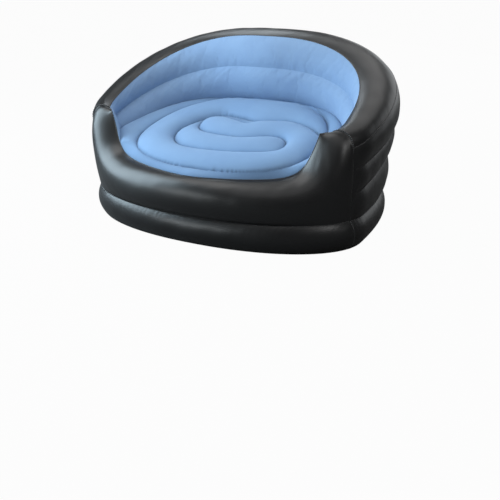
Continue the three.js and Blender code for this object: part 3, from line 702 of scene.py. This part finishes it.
def loop(turn):
    """The plan radius of the weld round the seat, a little less on the left."""
    full = rounded(turn, loop_half_width, loop_front, loop_back, loop_power, loop_power)
    return full - loop_left_inset * np.clip(-np.sin(turn), 0, 1) ** 2


def smooth_through(places, steps=24):
    """A centripetal Catmull-Rom curve: cubic stretches whose knots follow the root of the step."""
    p = np.concatenate([[2 * places[0] - places[1]], places, [2 * places[-1] - places[-2]]])
    gap = np.sqrt(np.linalg.norm(np.diff(p, axis=0), axis=1))[:, None]
    p0, p1, p2, p3 = p[:-3], p[1:-2], p[2:-1], p[3:]
    g0, g1, g2 = gap[:-2], gap[1:-1], gap[2:]
    m1 = ((p1 - p0) / g0 - (p2 - p0) / (g0 + g1) + (p2 - p1) / g1) * g1
    m2 = ((p2 - p1) / g1 - (p3 - p1) / (g1 + g2) + (p3 - p2) / g2) * g1
    t = np.linspace(0, 1, steps, endpoint=False)[:, None, None]
    curve = ((2 * t ** 3 - 3 * t ** 2 + 1) * p1 + (t ** 3 - 2 * t ** 2 + t) * m1
             + (3 * t ** 2 - 2 * t ** 3) * p2 + (t ** 3 - t ** 2) * m2)
    return np.concatenate([curve.transpose(1, 0, 2).reshape(-1, 2), places[-1:]])


spiral = smooth_through(spiral_places)


# %% Relax the film
cell = 0.004
weld_reach = 0.8 * cell              # cells nearer to a weld than this are held down
film_passes, film_push = 500, 1.85   # a push between 1 and 2 settles soonest


def distance_to(path, x, y):
    """Least distance from points to the dots of a path, worked out a slice at a time."""
    least = np.full(x.size, 9.0)
    for part in np.array_split(path, 24):
        d = np.hypot(x.reshape(-1, 1) - part[None, :, 0], y.reshape(-1, 1) - part[None, :, 1])
        least = np.minimum(least, d.min(1))
    return least.reshape(x.shape)


def seat_radius(turn):
    """The plan radius of the seat's edge."""
    return outline(turn) + seat_edge(turn)[:, 0]


def relaxed_film():
    """Solves the film's even curvature, 1 everywhere, with zero height on the welds and the seat's edge.

    Over-relaxation in a chequered order: each cell moves past the mean of its four neighbours.
    """
    xs = np.arange(-0.66, 0.66 + cell, cell)
    ys = np.arange(-0.36, 0.56 + cell, cell)
    x, y = np.meshgrid(xs, ys)
    turn = np.arctan2(x, -y)
    radius = np.hypot(x, y)
    inside = radius < seat_radius(turn.ravel()).reshape(x.shape)
    free = inside & (distance_to(spiral, x, y) > weld_reach) & (np.abs(radius - loop(turn)) > weld_reach)
    film_height = np.zeros_like(x)
    checks = (np.add.outer(np.arange(len(ys)), np.arange(len(xs))) % 2).astype(bool)
    passes = [free & checks, free & ~checks]
    for _ in range(film_passes):
        for mask in passes:
            around = np.zeros_like(x)
            around[1:-1, 1:-1] = (film_height[:-2, 1:-1] + film_height[2:, 1:-1]
                                  + film_height[1:-1, :-2] + film_height[1:-1, 2:])
            step = (around + cell ** 2) / 4 - film_height
            film_height[mask] += film_push * step[mask]
    return xs, ys, film_height


film_x, film_y, film_z = relaxed_film()
print("film height", round(float(film_z.max()), 5))


# %% Seat surface
lobe_width = 0.130     # a lobe of this width reaches the full rise
weld_shade_depth = 0.00018  # where the film is this low, the flock is still darkened as painted shade of the weld valleys


def film_at(x, y):
    """Bilinear reading of the relaxed film."""
    u = np.clip((x - film_x[0]) / cell, 0, len(film_x) - 1.001)
    v = np.clip((y - film_y[0]) / cell, 0, len(film_y) - 1.001)
    i, j = u.astype(int), v.astype(int)
    a, b = u - i, v - j
    low = mix(film_z[j, i], film_z[j, i + 1], a)
    high = mix(film_z[j + 1, i], film_z[j + 1, i + 1], a)
    return mix(low, high, b)


def seat_grid(turn):
    """Rings from the seat's edge to its middle.

    The height is the plane of the welds inside the loop and a straight slope from the loop to the edge,
    plus the film, whose height over that of a full lobe is taken to a power below one, as tight sheets
    round off faster than a film.
    """
    edge = seat_edge(turn)
    full = outline(turn) + edge[:, 0]
    ring = np.minimum(loop(turn), full - 0.006)
    t = crowded(150, 0.35)[:, None]
    radius = full * (1 - t)
    x, y = radius * np.sin(turn), -radius * np.cos(turn)
    weld = seat_weld_height + seat_slope * y
    weld_at_ring = seat_weld_height - seat_slope * ring * np.cos(turn)
    beyond = np.clip((radius - ring) / (full - ring), 0, 1)
    base = np.where(radius > ring, mix(weld_at_ring, edge[:, 1], beyond), weld)
    lobe = seat_lobe_rise * (8 * film_at(x, y) / lobe_width ** 2) ** 0.5
    return np.stack([x, y, base + lobe], -1)


seat_turns = np.linspace(-math.pi, math.pi, 620, endpoint=False)


def seat_sheet(rings):
    """The seat's rings closed in the middle, over a plain underside just below the welds."""
    top = rings.copy()
    top[-1] = top[-2].mean(0)
    rows, columns = top.shape[:2]
    share = np.linspace(0, 1, 9)[1:, None, None]
    under = mix(top[0], top[-1], share)
    under[..., 2] = seat_weld_height + seat_slope * under[..., 1] - 0.004
    edge = top[:1] - [0, 0, film]
    low = np.concatenate([edge, under])
    count = rows * columns
    ids = np.arange(columns)
    turned = np.roll(ids, -1)
    wall = np.stack([ids, ids + count, turned + count, turned], -1)
    under_faces = grid_faces(len(low), columns, True)[:, ::-1] + count
    return (np.concatenate([top.reshape(-1, 3), low.reshape(-1, 3)]),
            np.concatenate([grid_faces(rows, columns, True), under_faces, wall]))


def close_pole(piece):
    """Merges the points that lie together in the middle."""
    body = bmesh.new()
    body.from_mesh(piece.data)
    bmesh.ops.remove_doubles(body, verts=body.verts, dist=1e-6)
    body.to_mesh(piece.data)
    body.free()


seat_rings = seat_grid(seat_turns)
seat = new_piece("seat", *seat_sheet(seat_rings))
tops = seat_rings.reshape(-1, 3)
# Painted shade: the flock is darkened where the film lies low, along the valleys of the welds.
held = np.exp(-film_at(tops[:, 0], tops[:, 1]) / weld_shade_depth)
painted_weld_shade = seat.data.attributes.new("painted_weld_shade", "FLOAT", "POINT")
painted_weld_shade.data.foreach_set("value", np.append(held, np.zeros(len(seat.data.vertices) - len(held))))
close_pole(seat)
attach(seat, skin_body)
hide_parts("seat_top")


# %% [markdown]
# ## Welds
# Neighbouring black sheets are welded edge to edge. The welding bar leaves a narrow raised line with a
# row of small teeth, which catches the light most where it runs over the tips of the arms.

# %% Weld line
weld_sides = 8       # corners of a weld's section
bold_rise = 0.06     # height over which a bold weld gains its full size


def weld_line(name, path, out, width=0.0055, tall=0.0022, tooth=0.010, bold_above=-1.0):
    """A tube of flat oval section along a path; its height and width grow and shrink once for each tooth.

    It is pressed flat and narrow below bold_above, and reaches its full size a little further up.
    """
    s = np.append(0, np.cumsum(np.linalg.norm(np.diff(path, axis=0), axis=1)))
    even = np.linspace(0, s[-1], int(6 * s[-1] / tooth))
    path, out = (np.stack([np.interp(even, s, v[:, k]) for k in range(3)], -1) for v in (path, out))
    way = unit(np.gradient(path, axis=0))
    side = unit(np.cross(way, out))
    out = np.cross(side, way)
    path = pinched(path)
    size = np.abs(np.sin(math.pi * even / tooth)) ** 0.7
    strength = mix(0.25, 1, np.clip((path[:, 2] - bold_above) / bold_rise, 0, 1))
    width, tall = width * (1 + strength) / 2, tall * strength
    a = -np.linspace(0, 2 * math.pi, weld_sides, endpoint=False)
    across = side[:, None] * (np.cos(a)[None] * (width / 2 * (0.45 + 0.55 * size))[:, None])[..., None]
    above = out[:, None] * (np.sin(a)[None] * (tall * (0.1 + 0.9 * size))[:, None])[..., None]
    ring = path[:, None] + across + above
    last = (len(even) - 1) * weld_sides
    ends = np.array([[0, 1, 2, 3], [0, 3, 4, 7], [4, 5, 6, 7]])
    cells = np.concatenate([grid_faces(len(even), weld_sides, True), ends[:, ::-1], last + ends])
    piece = new_piece(name, ring.reshape(-1, 3), cells)
    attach(piece, skin_body)
    return piece


def along_seam(turn, lower, upper):
    """The line where two runs meet and the mean of their normals there."""
    a, b = place(turn, lower), place(turn, upper)
    return b[0], unit(normals_of(a)[-1] + normals_of(b)[0])


# %% Lay the welds
def arm_seam(side):
    """Up an arm seam, from the foot over the base seam and the face to the tip of the rim."""
    turn = np.sort(np.array([0.98, 1.0]) * side * arm_turn)
    points = np.concatenate([place(turn, base_run(turn)), place(turn, front_run(turn, front_v))[1:]])
    seam = 1 if side > 0 else 0
    return points[:, seam], normals_of(points)[:, seam]


edge_turns = front_turns[1:-1]
edge_path = place(edge_turns, front_edge(edge_turns)[:, None])[0]
edge_out = unit(normals_of(place(edge_turns, front_run(edge_turns, front_v)))[-1] + [0, 0, 0.8])
seams = {
    "weld_base_front": along_seam(front_turns, base_run(front_turns), front_run(front_turns, front_v)),
    "weld_base_rear": along_seam(rear_turns, base_run(rear_turns), wall_run(rear_turns)),
    "weld_rim": along_seam(rear_turns, wall_run(rear_turns), rim_run(rear_turns)),
    "weld_lining": along_seam(rear_turns, rim_run(rear_turns),
                              lining_run(rear_turns, lining_top, lining_low)),
    "weld_front": (edge_path, edge_out), "weld_left": arm_seam(-1), "weld_right": arm_seam(1)}
bold = dict(width=0.0085, tall=0.0050, tooth=0.0085, bold_above=0.38)
welds = []
for name, seam in seams.items():
    welds.append(weld_line(name, *seam, **(bold if name in ("weld_left", "weld_right") else {})))

# %% [markdown]
# ## Materials
# Two finishes make the sofa: black vinyl with a satin, slightly grained face, and a blue flock of very
# short fibres that drinks the light and shows a pale bloom at glancing angles. The welds are the same
# vinyl, pressed smoother, and the valves a soft moulded one. Effects that all need are node groups.

# %% Node helpers
def new_material(name):
    """An empty material with its Principled shader."""
    material = bpy.data.materials.new(name)
    material.use_nodes = True
    nodes = material.node_tree.nodes
    return material, nodes, material.node_tree.links, nodes["Principled BSDF"]


def add_node(nodes, kind, values=None, **settings):
    """A node of a kind, with settings and input values."""
    node = nodes.new(kind)
    for key, value in settings.items():
        setattr(node, key, value)
    for key, value in (values or {}).items():
        node.inputs[key].default_value = value
    return node


def new_group(name, inputs, outputs):
    """A shader node group with float inputs and outputs."""
    group = bpy.data.node_groups.new(name, "ShaderNodeTree")
    for label, value in inputs:
        socket = group.interface.new_socket(label, in_out="INPUT", socket_type="NodeSocketFloat")
        socket.default_value = value
    for label in outputs:
        group.interface.new_socket(label, in_out="OUTPUT", socket_type="NodeSocketFloat")
    given, out = group.nodes.new("NodeGroupInput"), group.nodes.new("NodeGroupOutput")
    return group, group.nodes, group.links, given, out


# %% Grain group
def grain_group():
    """Two noises on Object coordinates, a fine grain and a slow drift, both about 0 to 1."""
    group, nodes, links, given, out = new_group(
        "grain_and_drift", [("Grain Scale", 900), ("Drift Scale", 6)], ["Grain", "Drift"])
    place_node = nodes.new("ShaderNodeTexCoord")
    fine = add_node(nodes, "ShaderNodeTexNoise", {"Detail": 3, "Roughness": 0.6})
    slow = add_node(nodes, "ShaderNodeTexNoise", {"Detail": 2, "Roughness": 0.5, "Distortion": 0.4})
    for node, label in ((fine, "Grain Scale"), (slow, "Drift Scale")):
        links.new(place_node.outputs["Object"], node.inputs["Vector"])
        links.new(given.outputs[label], node.inputs["Scale"])
    links.new(fine.outputs["Fac"], out.inputs["Grain"])
    links.new(slow.outputs["Fac"], out.inputs["Drift"])
    return group


grain = grain_group()


def grained(nodes, scale, drift):
    """The grain group placed in a material."""
    node = nodes.new("ShaderNodeGroup")
    node.node_tree = grain
    node.inputs["Grain Scale"].default_value = scale
    node.inputs["Drift Scale"].default_value = drift
    return node


def ranged(nodes, links, source, low, high):
    """Maps a value from 0 to 1 onto low to high."""
    node = add_node(nodes, "ShaderNodeMapRange", {"To Min": low, "To Max": high})
    links.new(source, node.inputs["Value"])
    return node.outputs["Result"]


def between(nodes, links, factor, first, second):
    """A colour that goes from first to second with a factor."""
    node = add_node(nodes, "ShaderNodeMix", data_type="RGBA")
    node.inputs["A"].default_value = (*first, 1)
    node.inputs["B"].default_value = (*second, 1)
    links.new(factor, node.inputs["Factor"])
    return node


def bumped(nodes, links, noise, shader, strength, distance):
    """Gives a shader the grain as a bump."""
    bump = add_node(nodes, "ShaderNodeBump", {"Strength": strength, "Distance": distance})
    links.new(noise.outputs["Grain"], bump.inputs["Height"])
    links.new(bump.outputs["Normal"], shader.inputs["Normal"])


# %% Black vinyl
def vinyl(name, colour, rough, strength):
    """Satin PVC sheet: dark colour, roughness that drifts a little, and a fine calendered grain."""
    material, nodes, links, shader = new_material(name)
    noise = grained(nodes, 1400, 5)
    darker, paler = [c * 0.85 for c in colour], [c * 1.2 for c in colour]
    ramp = between(nodes, links, noise.outputs["Drift"], darker, paler)
    links.new(ramp.outputs["Result"], shader.inputs["Base Color"])
    roughness = ranged(nodes, links, noise.outputs["Drift"], rough - 0.05, rough + 0.05)
    links.new(roughness, shader.inputs["Roughness"])
    bumped(nodes, links, noise, shader, strength, 0.0002)
    shader.inputs["Specular IOR Level"].default_value = 0.5
    return material


black_vinyl = vinyl("black_vinyl", (0.003, 0.003, 0.0032), 0.37, 0.35)
grey_vinyl = vinyl("grey_vinyl", (0.26, 0.27, 0.29), 0.5, 0.3)
weld_vinyl = vinyl("weld_vinyl", (0.02, 0.02, 0.021), 0.24, 0.1)
valve_plastic = vinyl("valve_plastic", (0.022, 0.023, 0.025), 0.38, 0.15)


# %% Blue flock
def flock(name, colour, pale):
    """Short fibres: a matte colour that drifts with the nap, a pale sheen, a fine fibre bump, and painted
    shade a third darker along the seat's welds.
    """
    material, nodes, links, shader = new_material(name)
    noise = grained(nodes, 700, 9)
    ramp = between(nodes, links, noise.outputs["Drift"], colour, pale)
    # Painted shade: the colour turns a third darker along the seat's weld valleys.
    weld_shade_node = add_node(nodes, "ShaderNodeAttribute", attribute_name="painted_weld_shade")
    weld_shaded = between(nodes, links, weld_shade_node.outputs["Fac"], colour, [c * 0.66 for c in colour])
    links.new(ramp.outputs["Result"], weld_shaded.inputs["A"])
    links.new(weld_shaded.outputs["Result"], shader.inputs["Base Color"])
    shader.inputs["Roughness"].default_value = 0.95
    shader.inputs["Specular IOR Level"].default_value = 0.2
    shader.inputs["Sheen Weight"].default_value = 0.18
    shader.inputs["Sheen Roughness"].default_value = 0.45
    shader.inputs["Sheen Tint"].default_value = (0.75, 0.86, 1, 1)
    bumped(nodes, links, noise, shader, 0.5, 0.0006)
    return material


blue_flock = flock("blue_flock", (0.150, 0.258, 0.43), (0.182, 0.302, 0.475))
# Painted light: the lining's copy of the flock is paler than the seat's, so that the upright lining looks
# as lit as the seat.
lining_flock_painted_light = flock("lining_flock_painted_light", (0.181, 0.287, 0.462), (0.218, 0.338, 0.513))


# %% Dress every piece
def dress(piece, material):
    """Gives a piece one material."""
    piece.data.materials.clear()
    piece.data.materials.append(material)


for piece in (base_front, base_rear, outer_wall, rim, front):
    dress(piece, black_vinyl)
for piece in welds:
    dress(piece, weld_vinyl)
dress(seat, blue_flock)
dress(lining, lining_flock_painted_light)
finishes = {"black_vinyl": black_vinyl, "blue_flock": blue_flock,
            "grey_vinyl": grey_vinyl, "valve_plastic": valve_plastic}
for row in frame["record"]["subparts"]:
    dress(frame["nodes"][row["node"]], finishes[row["material_slot"]])

# %% [markdown]
# ## Floor and light
# A plain pale floor and soft light. Satin sheets show the lamps as streaks, so each lamp stands where the
# surface sends the camera's line of sight: a tall window on the left for the long bluish streaks of the
# rolls, a low one in front, one on the right for the arm, and three behind for the rim. A broad lamp
# overhead and a weak one in front light the flock. Floor and sky are white to the camera but dim to the
# sofa, so that the black sheets keep their depth.

# %% Floor
def make_floor():
    """A large pale disc under the sofa, part of whose whiteness only the camera sees."""
    turn = np.linspace(0, 2 * math.pi, 96, endpoint=False)
    rings = np.array([0.001, 60.0])[:, None]
    grid = np.stack([rings * np.sin(turn), -rings * np.cos(turn), np.zeros((2, 96))], -1)
    floor = new_piece("floor", grid.reshape(-1, 3), grid_faces(2, 96, True)[:, ::-1])
    material, nodes, links, shader = new_material("floor")
    shader.inputs["Base Color"].default_value = (0.16, 0.16, 0.16, 1)
    shader.inputs["Roughness"].default_value = 0.9
    shader.inputs["Specular IOR Level"].default_value = 0.1
    glow = add_node(nodes, "ShaderNodeEmission", {"Color": (1, 1, 1, 1), "Strength": 1.0})
    path = nodes.new("ShaderNodeLightPath")
    share = ranged(nodes, links, path.outputs["Is Camera Ray"], 0.0, 0.97)
    blend = nodes.new("ShaderNodeMixShader")
    links.new(share, blend.inputs["Fac"])
    links.new(shader.outputs["BSDF"], blend.inputs[1])
    links.new(glow.outputs["Emission"], blend.inputs[2])
    links.new(blend.outputs["Shader"], nodes["Material Output"].inputs["Surface"])
    dress(floor, material)


make_floor()


# %% Lamps
def add_lamp(name, place_from, aim, size, power, colour=(1, 1, 1)):
    """A rectangular soft lamp that faces a point."""
    light = bpy.data.lights.new(name, "AREA")
    light.shape = "RECTANGLE"
    light.size, light.size_y = size
    light.energy = power
    light.color = colour
    lamp = bpy.data.objects.new(name, light)
    lamp.location = place_from
    lamp.rotation_mode = "QUATERNION"
    lamp.rotation_quaternion = (Vector(aim) - Vector(place_from)).to_track_quat("-Z", "Y")
    bpy.context.scene.collection.objects.link(lamp)


# Name, place, the point it faces, width and height, watts, and colour where not white
lamps = [
    ("high_window", (-1.2, -0.7, 3.1), (0, 0, 0.3), (2.4, 2.2), 50),
    ("left_window", (-2.81, -1.07, 1.43), (-0.55, -0.25, 0.2), (2.1, 2.25), 145, (0.70, 0.88, 1)),
    ("right_window", (2.8, -1.6, 1.6), (0.4, -0.2, 0.3), (1.0, 0.8), 15),
    ("low_front", (-1.45, -2.8, 0.6), (-0.3, -0.3, 0.25), (1.6, 0.6), 21, (0.9, 0.97, 1)),
    ("back_strip", (-1.4, 2.0, 2.6), (0, 0.5, 0.8), (1.4, 0.8), 18, (0.86, 0.94, 1)),
    ("backdrop", (1.4, 4.2, 1.1), (0, 0.3, 0.5), (6.0, 2.0), 45, (0.95, 0.98, 1)),
    ("top_back", (0.9, 1.6, 3.2), (0, 0.2, 0.5), (3.5, 2.5), 45),
    ("front_fill", (0.8, -2.4, 3.2), (0, 0, 0.3), (3.6, 2.4), 24),
]
for lamp in lamps:
    add_lamp(*lamp)


def make_sky(strength_seen, strength_lit):
    """A world that is white to the camera and dimmer in the light it gives."""
    world = bpy.data.worlds.new("sky")
    world.use_nodes = True
    nodes, links = world.node_tree.nodes, world.node_tree.links
    nodes.clear()
    path = nodes.new("ShaderNodeLightPath")
    seen = add_node(nodes, "ShaderNodeBackground", {"Color": (1, 1, 1, 1), "Strength": strength_seen})
    lit = add_node(nodes, "ShaderNodeBackground", {"Color": (0.93, 0.96, 1, 1), "Strength": strength_lit})
    blend = nodes.new("ShaderNodeMixShader")
    out = nodes.new("ShaderNodeOutputWorld")
    links.new(path.outputs["Is Camera Ray"], blend.inputs["Fac"])
    links.new(lit.outputs["Background"], blend.inputs[1])
    links.new(seen.outputs["Background"], blend.inputs[2])
    links.new(blend.outputs["Shader"], out.inputs["Surface"])
    bpy.context.scene.world = world


make_sky(1.0, 0.16)
bpy.context.scene.view_settings.view_transform = "Standard"
